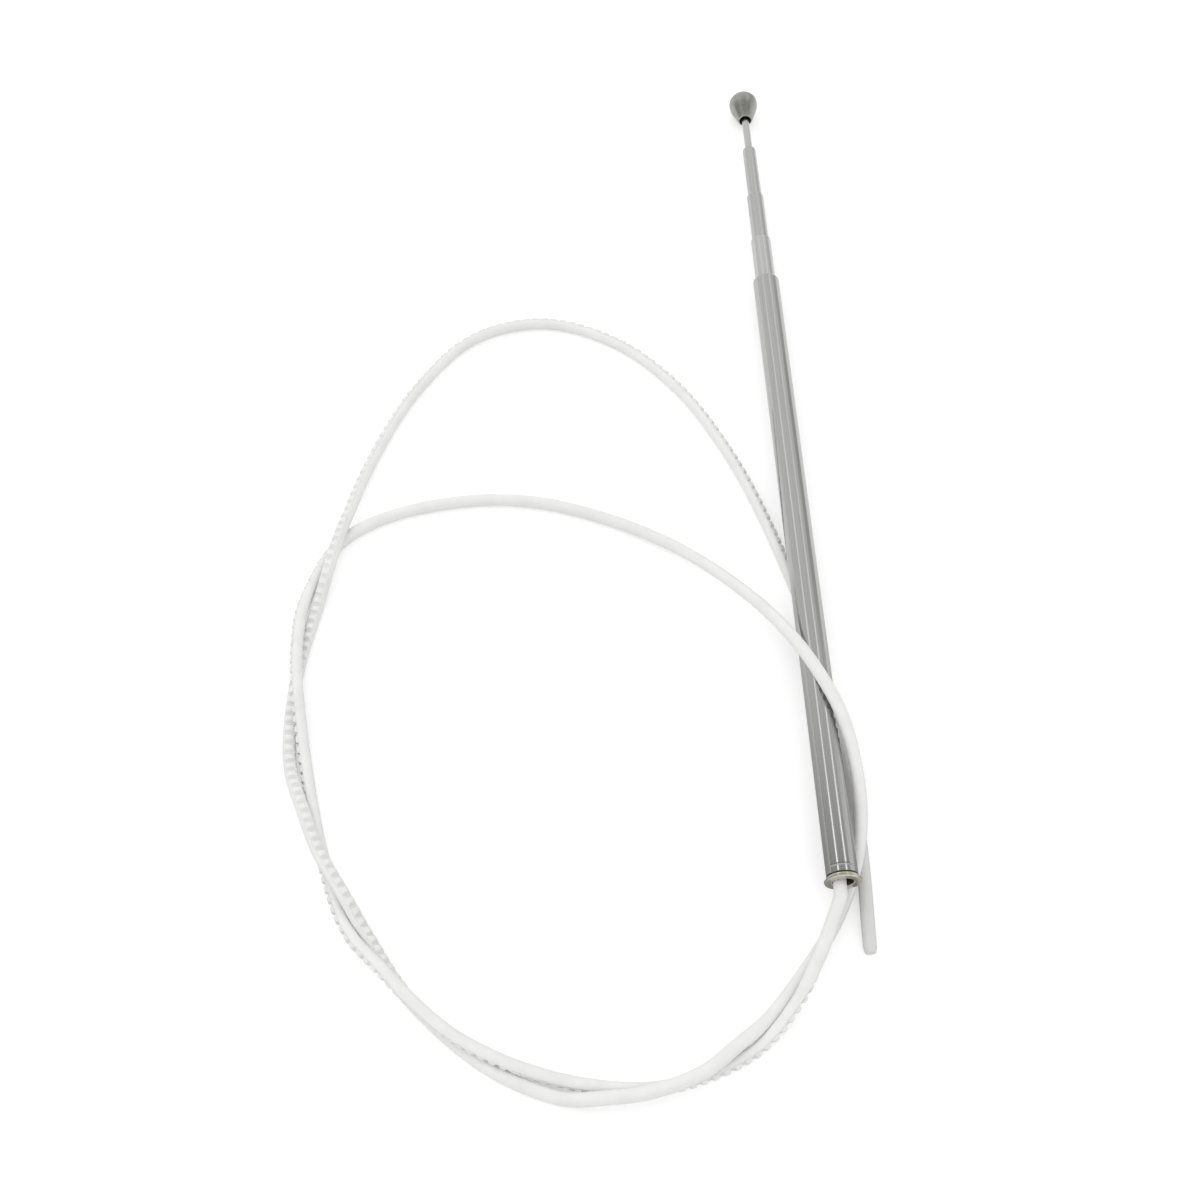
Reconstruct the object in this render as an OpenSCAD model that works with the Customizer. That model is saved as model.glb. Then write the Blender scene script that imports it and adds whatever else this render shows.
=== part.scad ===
// Telescopic car mast aerial, collapsed, with its toothed drive cord lying in a loose hank.
// Millimetres. The mast lies along +Y, foot at -Y, and the surface it lies on is z = 0.
// It rests on its knob and on the cord beneath it, so its axis falls slightly towards the tip.

/* [Tubes] */
// Wall of the main tube
main_wall = 0.5; // [0.3:0.05:0.5]
// Radial room between the main tube's bore and the first sliding tube
stage_3_room = 0.425; // [0.35:0.025:0.5]
// Radial room between the first sliding tube's bore and the second
stage_2_room = 0.275; // [0.2:0.025:0.35]
// Radial room between the second sliding tube's bore and the third
stage_1_room = 0.25; // [0.2:0.025:0.3]
// Radial room between the third sliding tube's bore and the rod
rod_room = 0.775; // [0.6:0.025:0.9]
// Wall of the sliding tubes
stage_wall = 0.2; // [0.15:0.05:0.2]
// Distance of the main tube's mouth from the foot's end face
main_mouth = 196.5; // [150:0.5:200]
// Length of the first sliding tube that shows
stage_3_shows = 16.8; // [12:0.1:24]
// Length of the second sliding tube that shows
stage_2_shows = 19.1; // [12:0.1:24]
// Length of the third sliding tube that shows
stage_1_shows = 20.9; // [12:0.1:24]

/* [Rod and knob] */
// Diameter of the tip rod
rod_d = 2.35; // [2:0.05:2.6]
// Length of the rod that shows under the knob
rod_shows = 13.7; // [10:0.1:18]
// Diameter of the knob where it is widest
knob_d = 9.2; // [8:0.1:10]
// Height of the knob
knob_h = 12; // [11:0.1:15]
// Height of the knob's cone, from its mouth to where it is widest
knob_cone = 6.5; // [5.5:0.1:7.5]
// Radius of the knob's shoulder
knob_round = 3.6; // [2.5:0.1:4.2]
// Radial room round the rod in the knob's mouth
knob_room = 0.675; // [0.4:0.025:0.9]
// Depth of the hollow round the rod in the knob's mouth
knob_hollow = 4; // [2:0.5:5]
// Wall at the knob's mouth
knob_wall = 0.3; // [0.2:0.05:0.5]

/* [Foot] */
// How far the flange stands out from the main tube all round
flange_stands = 0.75; // [0.5:0.05:1.5]
// Thickness of the flange
flange_t = 0.6; // [0.4:0.1:1]
// Wall of the foot round the bore that the cord leaves by
foot_wall = 0.85; // [0.7:0.05:1]
// How far the collar ring between the flange and the tube stands out from the tube
collar_stands = 0.2; // [0.1:0.05:0.4]
// Width of the collar ring
collar_w = 1.2; // [0.8:0.1:1.6]
// Length of the foot that is pressed into the tube, from its end face
spigot_l = 6; // [5:0.5:8]
// Distance of the crimped ring from the tube's end
crimp_at = 1.8; // [1.2:0.1:3]

/* [Slides] */
// Distance from the foot's spigot to the first tube, and from each tube's end to the next
foot_step = 3; // [2:0.5:6]
// Length of each guide bush over its tube
bush_l = 6; // [4:0.5:10]
// Length of each contact spring
contact_l = 8; // [6:0.5:10]
// Fingers of each contact spring
contact_fingers = 6; // [4:1:8]
// Radial clearance of a bush in its tube
bush_gap = 0.05; // [0.02:0.01:0.08]
// Radial clearance of a tube in the rolled mouth around it
mouth_gap = 0.06; // [0.02:0.01:0.08]
// Thickness of each bush's step under its tube's end
bush_step = 1; // [0.6:0.1:1.5]
// Thickness of the spring strip
spring_t = 0.12; // [0.08:0.01:0.15]
// Length of the coupling between the rod and the cord
coupling_l = 2.7; // [2:0.1:5]

/* [Cord] */
// Outside diameter of the cord over its teeth
cord_d = 3.4; // [3:0.1:3.6]

/* [Hidden] */
$fn = 64;
steel = [0.70, 0.70, 0.70];
nickel = [0.60, 0.59, 0.54];
bronze = [0.72, 0.55, 0.30];
nylon = [0.88, 0.88, 0.86];

// each tube's bore and outside diameter, from the rod outwards
stage_1_ir = rod_d / 2 + rod_room;
stage_1_od = 2 * (stage_1_ir + stage_wall);
stage_2_ir = stage_1_od / 2 + stage_1_room;
stage_2_od = 2 * (stage_2_ir + stage_wall);
stage_3_ir = stage_2_od / 2 + stage_2_room;
stage_3_od = 2 * (stage_3_ir + stage_wall);
main_ir = stage_3_od / 2 + stage_3_room;
main_od = 2 * (main_ir + main_wall);
foot_bore = 2 * (main_ir - foot_wall);
knob_mouth_d = rod_d + 2 * (knob_room + knob_wall);

// distances along the mast from the foot's end face
tube_start = flange_t + collar_w;
stage_3_foot = spigot_l + foot_step;
stage_2_foot = stage_3_foot + foot_step;
stage_1_foot = stage_2_foot + foot_step;
rod_foot = stage_1_foot + bush_l;
stage_3_mouth = main_mouth + stage_3_shows;
stage_2_mouth = stage_3_mouth + stage_2_shows;
stage_1_mouth = stage_2_mouth + stage_1_shows;
knob_mouth = stage_1_mouth + rod_shows;
widest_s = knob_mouth + knob_cone;

// how the mast lies: the knob touches the surface, the foot is held up by the cord
tilt = 0.85;
foot_y = -139.9;
foot_z = knob_d / 2 + widest_s * sin(tilt);

module on_mast(s = 0) {
    translate([0, foot_y, foot_z]) rotate([-90 - tilt, 0, 0]) translate([0, 0, s]) children();
}

// A drawn tube from s0 to its mouth, where the wall is rolled in round the next tube.
module drawn_tube(s0, mouth, od, wall, next_d) {
    lip_r = next_d / 2 + mouth_gap;
    roll = od / 2 - lip_r;
    on_mast()
        rotate_extrude()
            union() {
                translate([od / 2 - wall, s0]) square([wall, mouth - roll - s0]);
                translate([lip_r, mouth - roll])
                    intersection() {
                        difference() {
                            circle(r = roll);
                            circle(r = roll - wall);
                        }
                        square(roll + 1);
                    }
            }
}

// A guide bush on the foot of a tube: it runs in the tube around it and has a step under its own tube's end.
module guide_bush(foot, out_r, tube_r, step_r) {
    on_mast(foot - bush_step)
        difference() {
            cylinder(h = bush_l + bush_step, r = out_r - bush_gap);
            translate([0, 0, -1]) cylinder(h = bush_l + bush_step + 2, r = step_r);
            translate([0, 0, bush_step]) cylinder(h = bush_l + 1, r = tube_r);
        }
}

// A contact spring above the bush: two collars on the tube, joined by fingers bowed out to the tube around it.
module contact_spring(foot, out_r, tube_r) {
    t = spring_t;
    top = out_r - 0.03;
    on_mast(foot + bush_l + 0.3)
        difference() {
            rotate_extrude()
                polygon([[tube_r, 0], [tube_r + t, 0], [tube_r + t, 1], [top - 0.04, contact_l * 0.38],
                    [top, contact_l * 0.5], [top - 0.04, contact_l * 0.62], [tube_r + t, contact_l - 1],
                    [tube_r + t, contact_l], [tube_r, contact_l], [tube_r, contact_l - 1.1],
                    [top - t - 0.04, contact_l * 0.6], [top - t, contact_l * 0.5],
                    [top - t - 0.04, contact_l * 0.4], [tube_r, 1.1]]);
            for (k = [0:contact_fingers - 1])
                rotate([0, 0, k * 360 / contact_fingers])
                    translate([0, -0.3, 1]) cube([out_r + 1, 0.6, contact_l - 2]);
        }
}

module base_tube() {
    color(steel)
        difference() {
            drawn_tube(tube_start, main_mouth, main_od, main_wall, stage_3_od);
            // the shallow ring where the tube is crimped on to the foot
            on_mast(tube_start + crimp_at)
                rotate_extrude()
                    translate([main_od / 2 + 0.2, 0]) circle(r = 0.32);
        }
}

// Turned foot: flange, and a spigot pressed into the main tube.
module foot_ferrule() {
    color(nickel)
        on_mast()
            difference() {
                union() {
                    cylinder(h = flange_t, r = main_od / 2 + flange_stands);
                    cylinder(h = spigot_l, r = main_ir);
                }
                translate([0, 0, -1]) cylinder(h = spigot_l + 2, r = foot_bore / 2);
            }
}

module foot_collar() {
    color(nickel)
        on_mast(flange_t)
            difference() {
                cylinder(h = collar_w, r = main_od / 2 + collar_stands);
                translate([0, 0, -1]) cylinder(h = collar_w + 2, r = main_ir);
            }
}

module stage_3_tube() {
    color(steel) drawn_tube(stage_3_foot, stage_3_mouth, stage_3_od, stage_wall, stage_2_od);
}

module stage_3_bush() {
    color(nylon) guide_bush(stage_3_foot, main_ir, stage_3_od / 2, stage_3_ir);
}

module stage_3_contact() {
    color(bronze) contact_spring(stage_3_foot, main_ir, stage_3_od / 2);
}

module stage_2_tube() {
    color(steel) drawn_tube(stage_2_foot, stage_2_mouth, stage_2_od, stage_wall, stage_1_od);
}

module stage_2_bush() {
    color(nylon) guide_bush(stage_2_foot, stage_3_ir, stage_2_od / 2, stage_2_ir);
}

module stage_2_contact() {
    color(bronze) contact_spring(stage_2_foot, stage_3_ir, stage_2_od / 2);
}

module stage_1_tube() {
    color(steel) drawn_tube(stage_1_foot, stage_1_mouth, stage_1_od, stage_wall, rod_d);
}

module stage_1_bush() {
    color(nylon) guide_bush(stage_1_foot, stage_2_ir, stage_1_od / 2, stage_1_ir);
}

module stage_1_contact() {
    color(bronze) contact_spring(stage_1_foot, stage_2_ir, stage_1_od / 2);
}

module tip_rod() {
    color(steel) on_mast(rod_foot) cylinder(h = widest_s + 1 - rod_foot, r = rod_d / 2);
}

module rod_bush() {
    color(nylon)
        on_mast(rod_foot)
            difference() {
                cylinder(h = bush_l, r = stage_1_ir - bush_gap);
                translate([0, 0, -1]) cylinder(h = bush_l + 2, r = rod_d / 2);
            }
}

module rod_contact() {
    color(bronze) contact_spring(rod_foot, stage_1_ir, rod_d / 2);
}

// The crimp that joins the rod to the cord's end.
module cord_coupling() {
    color(bronze) on_mast(rod_foot - coupling_l) cylinder(h = coupling_l, r = stage_1_ir - 4 * bush_gap);
}

// Bell-shaped knob: a cone that is open round the rod, a short belt and a round shoulder.
module tip_knob() {
    r = knob_d / 2;
    mr = knob_mouth_d / 2;
    round_s = knob_h - knob_round;
    color(nickel)
        on_mast(knob_mouth)
            difference() {
                rotate_extrude()
                    intersection() {
                        union() {
                            // the edge between cone and belt is broken
                            polygon([[0, 0], [mr, 0], [mr + (r - mr) * 0.86, knob_cone * 0.86],
                                [r, knob_cone + 0.6], [r, round_s], [0, round_s]]);
                            translate([r - knob_round, round_s]) circle(r = knob_round);
                            translate([0, round_s]) square([r - knob_round, knob_round]);
                        }
                        square([r + 1, knob_h + 1]);
                    }
                translate([0, 0, -1]) cylinder(h = knob_cone + 2, r = rod_d / 2);
                translate([0, 0, -1]) cylinder(h = knob_hollow + 1, r = mr - knob_wall);
            }
}

// The cord's centre line, from inside the mast to its free end.
cord_route = [
    [0, -122, 8.4], [0, -128, 8.5], [0, -133, 8.6], [-0.6, -139, 8.6], [-0.8, -143.5, 8.5],
    // down and round the bottom and left of the hank
    [-2.6, -147, 7.5], [-4.9, -152, 6.4], [-8.3, -158.5, 5.5], [-13.3, -167, 4.3], [-22.6, -177.6, 1.8],
    [-36, -184, 1.7], [-50, -185.8, 1.7], [-65, -184.2, 1.7], [-78.2, -180.6, 2.5], [-87.2, -177.1, 4.6],
    [-96.3, -171.9, 5.6], [-106, -163.2, 5.4], [-114, -156, 4.8], [-122.5, -145.1, 2.7], [-129.5, -124.5, 1.7],
    [-134.5, -98.5, 1.7], [-136.2, -86.5, 3.9], [-137.5, -74.5, 5.6], [-137.9, -62.5, 4.8], [-137, -50.5, 2.2],
    // the lower arc, up and over the mast
    [-129, -32.5, 1.7], [-118, -24.5, 1.7], [-100, -19.5, 1.7], [-78, -19, 1.7], [-55, -25.5, 1.7],
    [-34, -37.5, 3], [-17.2, -54.2, 6.6], [-6.4, -71.5, 12], [0.1, -85.3, 13.8], [4.4, -95.7, 12.2],
    [6.9, -107.5, 8.6], [7.2, -119.5, 6.2],
    // over the free end, under the flange and round the hank again
    [5.6, -129.5, 5.3], [2.2, -139.5, 2.4], [-3.2, -149.5, 1.7], [-10.8, -159.5, 1.7], [-20.3, -170.3, 1.7],
    [-29, -177.3, 3.8], [-37, -183.2, 5], [-50, -187.8, 5.2], [-61, -188.5, 4.3], [-71, -187.5, 1.8],
    [-88, -179, 1.7], [-106.5, -162, 1.7], [-117, -145.9, 1.7], [-122.9, -136.4, 4.5], [-129.5, -124.5, 5.5],
    [-133.8, -113.5, 5], [-138.5, -98.5, 1.7], [-137.9, -73.5, 1.7], [-133.5, -52.5, 1.7], [-131, -43.5, 4],
    [-128.5, -34, 5.5], [-125.5, -22, 3.8],
    // the upper arc, down and under the mast to the free end
    [-120, -3.5, 1.7], [-107, 22.5, 1.7], [-90, 41, 1.7], [-69, 46, 1.7], [-48, 38, 1.7],
    [-30, 20, 1.7], [-15.8, -6.6, 1.7], [-5.7, -36.8, 1.7], [1, -65.5, 1.7], [5, -95.5, 1.7],
    [6.8, -125.5, 1.7], [5.7, -155.5, 1.7]
];

function centre(k) = let (n = len(cord_route))
    k < 0 ? 2 * cord_route[0] - cord_route[1]
    : k >= n ? 2 * cord_route[n - 1] - cord_route[n - 2]
    : cord_route[k];

// A smooth curve through the route's points, evaluated between point k and the next.
function along(k, f) = let (
        p0 = centre(k - 1), p1 = centre(k), p2 = centre(k + 1), p3 = centre(k + 2),
        t1 = sqrt(norm(p1 - p0)), t2 = t1 + sqrt(norm(p2 - p1)), t3 = t2 + sqrt(norm(p3 - p2)),
        t = t1 + (t2 - t1) * f,
        a1 = (t1 - t) / t1 * p0 + t / t1 * p1,
        a2 = (t2 - t) / (t2 - t1) * p1 + (t - t1) / (t2 - t1) * p2,
        a3 = (t3 - t) / (t3 - t2) * p2 + (t - t2) / (t3 - t2) * p3,
        b1 = (t2 - t) / t2 * a1 + t / t2 * a2,
        b2 = (t3 - t) / (t3 - t1) * a2 + (t - t1) / (t3 - t1) * a3,
        p = (t2 - t) / (t2 - t1) * b1 + (t - t1) / (t2 - t1) * b2)
    [p[0], p[1], max(p[2], cord_d / 2)];

// One ring at each point of the route, and one between points that are far apart.
function rings_between(k) = norm(centre(k + 1) - centre(k)) > 15 ? 2 : 1;

cord_line = concat(
    [for (k = [0:len(cord_route) - 2]) for (j = [0:rings_between(k) - 1]) along(k, j / rings_between(k))],
    [cord_route[len(cord_route) - 1]]);

// A closed tube of eight sides along a line of points, each ring upright across the line.
module swept_tube(line, d) {
    n = len(line);
    sides = 8;
    function heading(i) = let (v = line[min(i + 1, n - 1)] - line[max(i - 1, 0)]) v / norm(v);
    function ring(i) = let (
            h = heading(i),
            side = cross(h, [0, 0, 1]) / norm(cross(h, [0, 0, 1])),
            up = cross(side, h))
        [for (j = [0:sides - 1]) let (a = j * 360 / sides)
            line[i] + d / 2 * (cos(a) * side + sin(a) * up)];
    polyhedron(
        points = [for (i = [0:n - 1]) each ring(i)],
        faces = concat(
            [[for (j = [0:sides - 1]) j]],
            [for (i = [0:n - 2]) for (j = [0:sides - 1]) let (
                    a = i * sides + j, b = i * sides + (j + 1) % sides)
                each [[a, a + sides, b + sides], [a, b + sides, b]]],
            [[for (j = [sides - 1:-1:0]) (n - 1) * sides + j]]));
}

module drive_cord() {
    color(nylon) swept_tube(cord_line, cord_d);
}

base_tube();
foot_ferrule();
foot_collar();
stage_3_tube();
stage_3_bush();
stage_3_contact();
stage_2_tube();
stage_2_bush();
stage_2_contact();
stage_1_tube();
stage_1_bush();
stage_1_contact();
tip_rod();
rod_bush();
rod_contact();
cord_coupling();
tip_knob();
drive_cord();
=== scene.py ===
# Telescopic car mast aerial with its toothed drive cord: visible pieces, finishes and studio.

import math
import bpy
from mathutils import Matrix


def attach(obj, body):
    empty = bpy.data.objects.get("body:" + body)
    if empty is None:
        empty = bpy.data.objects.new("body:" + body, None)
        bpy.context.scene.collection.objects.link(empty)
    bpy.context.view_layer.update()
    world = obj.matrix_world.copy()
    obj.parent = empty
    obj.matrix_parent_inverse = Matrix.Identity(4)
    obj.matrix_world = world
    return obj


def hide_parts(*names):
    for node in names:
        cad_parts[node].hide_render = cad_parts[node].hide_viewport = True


bl_info = {
    "name": "Car Mast Aerial",
    "version": (1, 0, 0),
    "blender": (4, 5, 0),
    "location": "View3D > Sidebar > Mast Aerial",
    "description": "Builds the pieces of a telescopic car aerial mast and its drive cord",
    "category": "Add Mesh",
}

from collections import namedtuple

import bpy
from mathutils import Vector

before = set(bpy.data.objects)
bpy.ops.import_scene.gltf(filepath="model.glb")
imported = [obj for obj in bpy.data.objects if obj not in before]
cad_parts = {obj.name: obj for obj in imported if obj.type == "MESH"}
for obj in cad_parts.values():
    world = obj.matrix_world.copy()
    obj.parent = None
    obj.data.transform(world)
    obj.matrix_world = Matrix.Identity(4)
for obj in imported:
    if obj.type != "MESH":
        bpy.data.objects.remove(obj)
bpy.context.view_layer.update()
MM = 0.001

# Lengths are in millimetres unless a line says metres, which the user's settings and the materials
# use. A place called s lies along the mast: 0 at the foot's end face, growing towards the tip.

# --------------------------------------------------------------------------- the cord's sizes

# The cord's centre line, from inside the mast to its free end.
CORD_ROUTE = (
    (0, -122, 8.4), (0, -128, 8.5), (0, -133, 8.6), (-0.85, -139, 8.6),
    (-1.05, -143.5, 8.5), (-2.6, -147, 7.5), (-4.9, -152, 6.4), (-8.3, -158.5, 5.5),
    (-13.3, -167, 4.3), (-23.1, -177.1, 1.7), (-36.3, -183.3, 1.7), (-50, -185.8, 1.7),
    (-65, -184.2, 1.7), (-78.2, -180.6, 2.5), (-87.2, -177.1, 4.6), (-96.3, -171.9, 5.6),
    (-106, -163.2, 5.4), (-113.1, -155.3, 5.1), (-121.8, -144.7, 2.3), (-129, -124.4, 1.7),
    (-134.5, -98.5, 1.7), (-136.2, -86.5, 3.9), (-137.5, -74.5, 5.6), (-137.9, -62.5, 4.8),
    (-137, -50.5, 2.2), (-129, -32.5, 1.7), (-118, -24.5, 1.7), (-100, -19.5, 1.7),
    (-78, -19, 1.7), (-55, -25.5, 1.7), (-34, -37.5, 3), (-17.2, -54.2, 6.6),
    (-6.4, -71.5, 12), (0.1, -85.3, 13.8), (4.4, -95.7, 12.2), (6.9, -107.5, 8.6),
    (7.2, -119.5, 6.2), (5.6, -129.5, 5.3), (2.2, -139.5, 2.4), (-3.2, -149.5, 1.7),
    (-10.8, -159.5, 1.7), (-20.3, -170.3, 1.7), (-29, -177.3, 4.1), (-37, -183.2, 5.3),
    (-50, -187.3, 5.3), (-61, -188, 4.3), (-71, -187, 1.8), (-88, -179, 1.7),
    (-106.5, -162, 1.7), (-117, -145.9, 1.7), (-122.7, -136.3, 5.1), (-129.5, -124.5, 5.6),
    (-133.8, -113.5, 5), (-138.5, -98.5, 1.7), (-137.9, -73.5, 1.7), (-133.5, -52.5, 1.7),
    (-131, -43.5, 4), (-128.5, -34, 5.5), (-125.5, -22, 3.8), (-120, -3.5, 1.7),
    (-107, 22.5, 1.7), (-90, 41, 1.7), (-69, 46, 1.7), (-48, 38, 1.7),
    (-30, 20, 1.7), (-15.8, -6.6, 1.7), (-5.7, -36.8, 1.7), (1, -65.5, 1.7),
    (5, -95.5, 1.7), (6.8, -125.5, 1.7), (5.7, -155.5, 1.7),
)

# Which way the teeth face, as (point of the route, degrees of turn round the cord): 0 is to the
# left of the way the cord runs, 90 up and -90 down, and the turn winds on where the cord twists.
TOOTH_TURN = (
    (0, -80), (6, -75), (7.2, -40), (8.3, 0), (11, 0), (12.2, -28), (16, -28), (17.5, 0),
    (24.5, 0), (27, -60), (28.5, -90), (31, -100), (33, -115), (36, -110), (38, -92), (45, -90),
    (46.5, -140), (48, -215), (50, -225), (52, -238), (53, -250), (54, -270), (55, -285),
    (57, -300), (59, -330), (61, -345), (63, -336), (66, -336), (70, -450),
)
# The points of the route between which the cord has teeth, and where its plain tail is painted greyer, as
# painted shade.
TOOTHED_FROM, TOOTHED_TO = 2.2, 66.6
GREYED_FROM, GREYED_WITHIN = 66.5, 0.6

# A tooth from its root to its crown: (height as a share of the depth, length as a share of the pitch).
TOOTH_LEVELS = ((-0.1, 0.92), (0, 0.86), (0.1, 0.72), (0.28, 0.58),
                (0.5, 0.5), (0.72, 0.46), (0.88, 0.43), (0.97, 0.36))
TOOTH_WITHIN_ROUND = 0.995
CORD_SIDES = 20
CORD_END_SHRINK, CORD_END_DOME = 0.8, 0.25
ROUTE_STEP, ROUTE_LEVELLINGS = 0.5, 3

# --------------------------------------------------------------------------- the mast's sizes

BROKEN_EDGE = 0.06
SLIDING_PLAY = 0.06

MAIN_START, MAIN_MOUTH, MAIN_WALL = 1.82, 196.5, 0.5
# The ring crimped in near the main tube's foot, as (s, depth).
CRIMP = ((3.15, 0), (3.25, 0), (3.35, 0.01), (3.5, 0.045), (3.6, 0.055),
         (3.7, 0.045), (3.85, 0.01), (3.95, 0), (4.05, 0))

# The sliding tubes: (body, start, mouth, how much lighter the steel is than the main tube's).
SLIDING_TUBES = (("stage_3", 9, 213.3, 1.16), ("stage_2", 12, 232.4, 1.06), ("stage_1", 15, 253.75, 1.06))
SLIDING_WALL = 0.2

ROD_START, ROD_END, ROD_EDGE, ROD_LIGHTER = 21, 274.5, 0.1, 1.18

KNOB_MOUTH, KNOB_MOUTH_R, KNOB_HOLLOW, KNOB_WALL = 267.3, 2.22, 4, 0.3
# The rounded lip at the knob's mouth: (beside the mouth's radius, past the mouth).
KNOB_LIP = ((-0.29, 0.05), (-0.22, 0), (-0.07, 0), (0, 0.05))
KNOB_WIDEST, KNOB_R, KNOB_BELT, KNOB_CONE_STRAIGHT = 273.5, 4.6, 1.7, 0.74
KNOB_TOP, KNOB_SHOULDER_R, KNOB_CROWN_R = 278.1, 2.9, 0.6

# The foot ferrule as (radius, s): its end face and rim, then the flange's back, the neck inside
# the main tube and the bore. The rim's round lies between the two.
FERRULE_FACE = ((2.95, 0), (3.1, 0), (4.47, 0), (4.55, 0.02), (4.59, 0.06), (4.61, 0.11), (4.73, 0.46))
FERRULE_BACK = ((4.51, 0.6), (4.1, 0.6), (3.9, 0.58), (3.84, 0.5), (3.5, 0.5), (3.5, 5.7), (3.3, 6),
                (2.65, 6), (2.65, 0.5), (2.65, 0.3), (2.67, 0.2), (2.75, 0.08))
FLANGE_THICKNESS, RIM_TOP_R, RIM_ROUND = 0.6, 4.73, 0.12
# where the bore's painted shade begins along s, and the radius within which it lies
BORE_PAINTED_SHADE_FROM, BORE_PAINTED_SHADE_R = 0.15, 3.7

COLLAR_START, COLLAR_END, COLLAR_ROUND = 0.82, 1.36, 0.2
COLLAR_BORE_R, COLLAR_FLAT_R, COLLAR_R = 3.5, 3.8, 4.2

# The mast lies nose down, its knob on the floor and its foot over a strand of the cord.
TILT = math.radians(0.85)
MAST_AXIS = Vector((0, math.cos(TILT), -math.sin(TILT)))
MAST_UP = Vector((0, math.sin(TILT), math.cos(TILT)))
MAST_SIDE = Vector((1, 0, 0))
FOOT = Vector((0, -139.9, KNOB_R + KNOB_WIDEST * math.sin(TILT)))

# --------------------------------------------------------------------------- finishes

# painted shade: the dull dark brown of the bore and neck stands in for the shade inside the bore
BORE_PAINTED_SHADE = (0.17, 0.14, 0.11)
BUSH_NYLON = (0.80, 0.80, 0.76)
SPRING_BRONZE = (0.66, 0.46, 0.22)
# how grey the cord's tail is painted, as painted shade
GREYED_SHARE = 0.82

# Patterns, in repeats a metre across the mast, along it and across it.
BROAD_LINES, FINE_LINES = (700, 7, 700), (3800, 40, 3800)
TURNING_RINGS, DULL_CLOUDS = (60, 9000, 60), (420, 420, 420)
NYLON_CLOUDS, NYLON_GRAIN = (160, 160, 160), (2600, 2600, 2600)
PATTERN_LOW, PATTERN_HIGH = 0.3, 0.7

# The colour sockets of a Mix node, which share their names with the others.
MIX_A, MIX_B, MIX_RESULT = 6, 7, 2

# --------------------------------------------------------------------------- studio

CAMERA_PLACE, CAMERA_TURN = (-65.41, -276.31, 381.14), (30.5, 0, -2.442)
# In metres: the floor's reach and height, and the lamp over it.
FLOOR_HALF, FLOOR_Z = 4.0, -0.0001
SOFT_LAMP_PLACE, SOFT_LAMP_SIZE, SOFT_LAMP_WATTS = (-0.9, 0.5, 1.3), 1.2, 3.0
WHITE = (1, 1, 1, 1)

# Painted reflection: the floor as the metal sees it, its grey over a stretch of Y (in metres), painted
# darker below the foot end of the mast as painted shade, and the stretch over which it starts to glow as
# well.
FLOOR_GREY, FLOOR_GLOW = 0.76, 0.4
FLOOR_PAINTED_REFLECTION_Y = (-0.2, 0.0)
FLOOR_PAINTED_REFLECTION = ((0.0, 0.95), (0.2, 0.95), (0.29, 0.38), (0.78, 0.76))
FLOOR_PAINTED_GLOW_Y = (-0.16, -0.03)

# The studio as the metal sees it: greys by how far the way points along +Y, from 0 to 1.
SKY = ((0.0, 0.42), (0.26, 0.4), (0.33, 0.37), (0.36, 0.45), (0.39, 0.6), (0.42, 0.74),
       (0.48, 0.9), (0.6, 0.95), (0.72, 1.0))
LAMPS = ((0.0, 0.25), (0.26, 0.25), (0.335, 1.0), (0.38, 0.85), (0.42, 0.62), (0.53, 0.48), (0.7, 0.42))
WALL = ((0.0, 1.0), (0.36, 1.0), (0.44, 0.95), (0.52, 0.6), (0.62, 0.6), (0.74, 0.9))
# Where the two lamps and the wall stand, in degrees round Y from overhead towards +X.
LAMPS_ROUND = ((-39, 0), (-35, 1), (-31, 1), (-27, 0), (20, 0), (24, 1), (29, 0.8), (33, 0))
WALL_ROUND = ((50, 0), (60, 1), (84, 1), (90, 0.6))
# A bright window on the -Y side, from 0 at straight back to 1 at straight on.
WINDOW = ((0.24, 0), (0.32, 1), (0.42, 1), (0.47, 0))
WINDOW_LIGHT = (1.25, 1.25, 1.17, 1)


def on_mast(x, up, s):
    """A point beside the mast's axis, as metres in the frame."""
    return (FOOT + MAST_SIDE * x + MAST_UP * up + MAST_AXIS * s) * MM


# --------------------------------------------------------------------------- mesh helpers

def add_object(name, data):
    obj = bpy.data.objects.new(name, data)
    bpy.context.scene.collection.objects.link(obj)
    return obj


def smooth(mesh, degrees):
    """Shades the mesh smooth, apart from edges sharper than the angle."""
    for poly in mesh.polygons:
        poly.use_smooth = True
    mesh.set_sharp_from_angle(angle=math.radians(degrees))
    mesh.update()


def turned_piece(name, profile, around=96, sharp=35):
    """Turns a closed outline of (radius, s) points round the mast's axis."""
    verts, faces, rows = [], [], []
    for radius, s in profile:
        if radius < 1e-6:
            rows.append([len(verts)] * around)
            verts.append(on_mast(0, 0, s))
        else:
            rows.append(list(range(len(verts), len(verts) + around)))
            for k in range(around):
                a = 2 * math.pi * k / around
                verts.append(on_mast(radius * math.cos(a), radius * math.sin(a), s))
    for i in range(len(rows)):
        a, b = rows[i], rows[(i + 1) % len(rows)]
        for k in range(around):
            n = (k + 1) % around
            corners = []
            for v in (a[k], a[n], b[n], b[k]):
                if v not in corners:
                    corners.append(v)
            if len(corners) > 2:
                faces.append(corners)
    mesh = bpy.data.meshes.new(name)
    mesh.from_pydata(verts, [], faces)
    mesh.validate()
    smooth(mesh, sharp)
    # an outline that runs the other way round turns the shell inside out
    volume = 0.0
    for poly in mesh.polygons:
        corner = mesh.vertices[poly.vertices[0]].co
        volume += corner.dot(poly.normal) * poly.area
    if volume < 0:
        mesh.flip_normals()
    return add_object(name, mesh)


def arc(cx, cs, radius, start, end, steps):
    """Points of an arc in an outline, by angles in degrees from the radial way towards the tip."""
    out = []
    for k in range(steps + 1):
        a = math.radians(start + (end - start) * k / steps)
        out.append((cx + radius * math.cos(a), cs + radius * math.sin(a)))
    return out


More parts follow.
